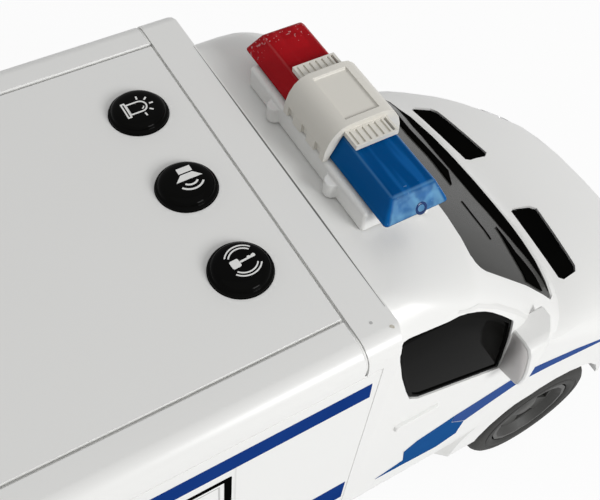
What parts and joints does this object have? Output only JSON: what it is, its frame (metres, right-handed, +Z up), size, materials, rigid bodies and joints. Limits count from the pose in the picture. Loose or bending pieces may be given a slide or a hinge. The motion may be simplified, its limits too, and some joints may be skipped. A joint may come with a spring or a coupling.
{
  "type": "remote control police van",
  "caption": "Toy police van with a white cab and box body, roof push buttons, red and blue light bar, opening rear doors, steered front wheels and a geared rear axle.",
  "frame": {"origin": "on the ground, midway along and across the van", "axes": "+X towards the van's nose, +Y to its left side, +Z up"},
  "size_m": [0.2798, 0.1106, 0.1372],
  "materials": {
    "white_abs": "semi-gloss moulded ABS",
    "black_gloss": "high-gloss moulded plastic",
    "tinted_screen": "glossy tinted plastic",
    "dark_abs": "satin dark grey moulded plastic",
    "tyre": "matt rubber",
    "red_lens": "translucent polished plastic",
    "blue_lens": "translucent polished plastic",
    "lamp_lens": "clear polished plastic",
    "steel": "ground steel",
    "motor_can": "plated can",
    "nylon": "natural nylon",
    "circuit_board": "solder mask",
    "battery_wrap": "shrink wrap"
  },
  "bodies": {
    "van": {"cab_shell": "white_abs", "box_shell": "white_abs", "roof_rim": "white_abs", "roof_panel": "white_abs", "bay_liner": "white_abs", "bay_ceiling": "white_abs", "mirror_left": "white_abs", "mirror_right": "white_abs", "light_bar_base": "white_abs", "light_bar_cover": "white_abs", "side_window_left": "black_gloss", "side_window_right": "black_gloss", "bonnet_vent_left": "black_gloss", "bonnet_vent_right": "black_gloss", "windscreen": "tinted_screen", "chassis_tray": "dark_abs", "front_bumper": "dark_abs", "grille": "dark_abs", "rear_bumper": "dark_abs", "gearbox": "dark_abs", "steering_servo": "dark_abs", "steering_cover": "dark_abs", "battery_cover": "dark_abs", "speaker": "dark_abs", "lens_red": "red_lens", "tail_lamp_left": "red_lens", "tail_lamp_right": "red_lens", "led_red": "red_lens", "lens_blue": "blue_lens", "led_blue": "blue_lens", "headlamp_left": "lamp_lens", "headlamp_right": "lamp_lens", "drive_motor": "motor_can", "light_bar_board": "circuit_board", "button_board": "circuit_board", "receiver_board": "circuit_board", "battery_pack": "battery_wrap"},
    "button_light_body": {"button_light": "black_gloss"},
    "button_sound_body": {"button_sound": "black_gloss"},
    "button_key_body": {"button_key": "black_gloss"},
    "door_left": {"rear_door_left": "white_abs"},
    "door_right": {"rear_door_right": "white_abs"},
    "rear_wheels": {"rear_axle": "steel", "axle_gear": "nylon", "rim_rear_left": "dark_abs", "rim_rear_right": "dark_abs", "tyre_rear_left": "tyre", "tyre_rear_right": "tyre"},
    "idler": {"idler_gear": "nylon"},
    "pinion": {"motor_pinion": "nylon"},
    "steer_left_body": {"knuckle_left": "nylon"},
    "steer_right_body": {"knuckle_right": "nylon"},
    "track_rod": {"tie_rod": "nylon"},
    "servo_lever": {"servo_arm": "nylon"},
    "wheel_front_left": {"rim_front_left": "dark_abs", "tyre_front_left": "tyre"},
    "wheel_front_right": {"rim_front_right": "dark_abs", "tyre_front_right": "tyre"},
    "switch_slider": {"power_switch": "dark_abs"}
  },
  "joints": [
    {"name": "rear_axle_spin", "type": "hinge", "parent": "van", "child": "rear_wheels", "pos_m": [-0.0703, 0, 0.0212], "axis": [0, 1, 0], "continuous": true},
    {"name": "idler_spin", "type": "hinge", "parent": "van", "child": "idler", "pos_m": [-0.06186, 0, 0.02608], "axis": [0, 1, 0], "continuous": true},
    {"name": "pinion_spin", "type": "hinge", "parent": "van", "child": "pinion", "pos_m": [-0.05269, 0, 0.02941], "axis": [0, 1, 0], "continuous": true},
    {"name": "steer_left", "type": "hinge", "parent": "van", "child": "steer_left_body", "pos_m": [0.0837, 0.029, 0.0212], "axis": [0, 0, 1], "range_deg": [-18, 18]},
    {"name": "steer_right", "type": "hinge", "parent": "van", "child": "steer_right_body", "pos_m": [0.0837, -0.029, 0.0212], "axis": [0, 0, 1], "range_deg": [-18, 18]},
    {"name": "tie_rod_slide", "type": "slide", "parent": "van", "child": "track_rod", "axis": [0, 1, 0], "range_m": [-0.0029, 0.0029]},
    {"name": "servo_turn", "type": "hinge", "parent": "van", "child": "servo_lever", "pos_m": [0.0652, 0, 0.022], "axis": [0, 0, 1], "range_deg": [-18, 18]},
    {"name": "front_left_spin", "type": "hinge", "parent": "steer_left_body", "child": "wheel_front_left", "pos_m": [0.0837, 0.0408, 0.0212], "axis": [0, 1, 0], "continuous": true},
    {"name": "front_right_spin", "type": "hinge", "parent": "steer_right_body", "child": "wheel_front_right", "pos_m": [0.0837, -0.0408, 0.0212], "axis": [0, 1, 0], "continuous": true},
    {"name": "button_light_press", "type": "slide", "parent": "van", "child": "button_light_body", "axis": [0, 0, -1], "range_m": [0, 0.0012], "stiffness_N_per_m": 400},
    {"name": "button_sound_press", "type": "slide", "parent": "van", "child": "button_sound_body", "axis": [0, 0, -1], "range_m": [0, 0.0012], "stiffness_N_per_m": 400},
    {"name": "button_key_press", "type": "slide", "parent": "van", "child": "button_key_body", "axis": [0, 0, -1], "range_m": [0, 0.0012], "stiffness_N_per_m": 400},
    {"name": "rear_door_left_hinge", "type": "hinge", "parent": "van", "child": "door_left", "pos_m": [-0.1327, 0.041, 0.078], "axis": [0, 0, -1], "range_deg": [0, 95]},
    {"name": "rear_door_right_hinge", "type": "hinge", "parent": "van", "child": "door_right", "pos_m": [-0.1327, -0.041, 0.078], "axis": [0, 0, 1], "range_deg": [0, 95]},
    {"name": "power_switch_slide", "type": "slide", "parent": "van", "child": "switch_slider", "axis": [1, 0, 0], "range_m": [0, 0.004]}
  ],
  "couplings": [
    {"joint": "idler_spin", "follows": "rear_axle_spin", "ratio": -2},
    {"joint": "pinion_spin", "follows": "rear_axle_spin", "ratio": 4},
    {"joint": "steer_right", "follows": "steer_left", "ratio": 1},
    {"joint": "tie_rod_slide", "follows": "steer_left", "m_per_rad": -0.009},
    {"joint": "servo_turn", "follows": "steer_left", "ratio": -0.94737}
  ]
}
